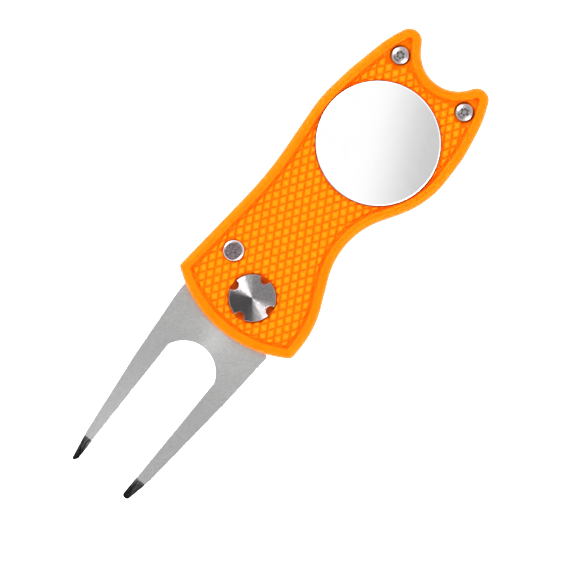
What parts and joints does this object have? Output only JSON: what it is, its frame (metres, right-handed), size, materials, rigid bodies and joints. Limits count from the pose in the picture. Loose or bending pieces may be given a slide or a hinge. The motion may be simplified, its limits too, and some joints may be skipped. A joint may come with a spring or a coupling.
{
  "type": "golf divot repair tool",
  "caption": "Folding golf divot repair tool: a steel fork swings out of a waisted plastic handle with a push-button lock and a magnetic ball marker.",
  "frame": {"origin": "bottom centre of the open tool lying on its back", "axes": "+Y from the fork's tips to the horned end of the handle, +Z the normal of the front face, +X towards the waisted side that the fork folds into"},
  "size_m": [0.0304, 0.1104, 0.011],
  "materials": {
    "handle_plastic": "moulded orange plastic, satin",
    "fork_steel": "brushed stainless plate with ground tips",
    "turned_steel": "lathe-turned, fine concentric grooves",
    "bronze": "plain sintered bronze",
    "washer_plastic": "low-friction plastic sheet",
    "spring_steel": "drawn spring steel",
    "button_steel": "turned pin steel with fine scratches",
    "marker_mirror": "polished to a mirror",
    "magnet_nickel": "nickel plated",
    "screw_steel": "bright zinc plated"
  },
  "bodies": {
    "handle": {"front_shell": "handle_plastic", "rear_shell": "handle_plastic", "pivot_cap": "turned_steel", "pivot_post": "turned_steel", "front_washer": "washer_plastic", "rear_washer": "washer_plastic", "torsion_spring": "spring_steel", "lock_spring": "spring_steel", "spring_rivet_upper": "button_steel", "spring_rivet_lower": "button_steel", "stop_pin": "button_steel", "marker_magnet": "magnet_nickel", "horn_screw_left": "screw_steel", "horn_screw_right": "screw_steel", "horn_post_left": "screw_steel", "horn_post_right": "screw_steel"},
    "fork": {"fork": "fork_steel", "pivot_bushing": "bronze"},
    "button": {"push_button": "button_steel", "button_stem": "button_steel"},
    "marker": {"ball_marker": "marker_mirror"}
  },
  "joints": [
    {"name": "fork_fold", "type": "hinge", "parent": "handle", "child": "fork", "pos_m": [0.00033, -0.00715, 0.0055], "axis": [0, 0, 1], "range_deg": [0, 180], "stiffness_Nm_per_rad": 0.007, "springref_deg": -40.11, "deforming": ["torsion_spring", "lock_spring"]},
    {"name": "button_press", "type": "slide", "parent": "handle", "child": "button", "axis": [0, 0, 1], "range_m": [-0.0014, 0], "stiffness_N_per_m": 1800, "springref_m": 0.0003, "deforming": ["lock_spring"]},
    {"name": "marker_lift", "type": "slide", "parent": "handle", "child": "marker", "axis": [0, 0, 1], "range_m": [0, 0.03]}
  ]
}
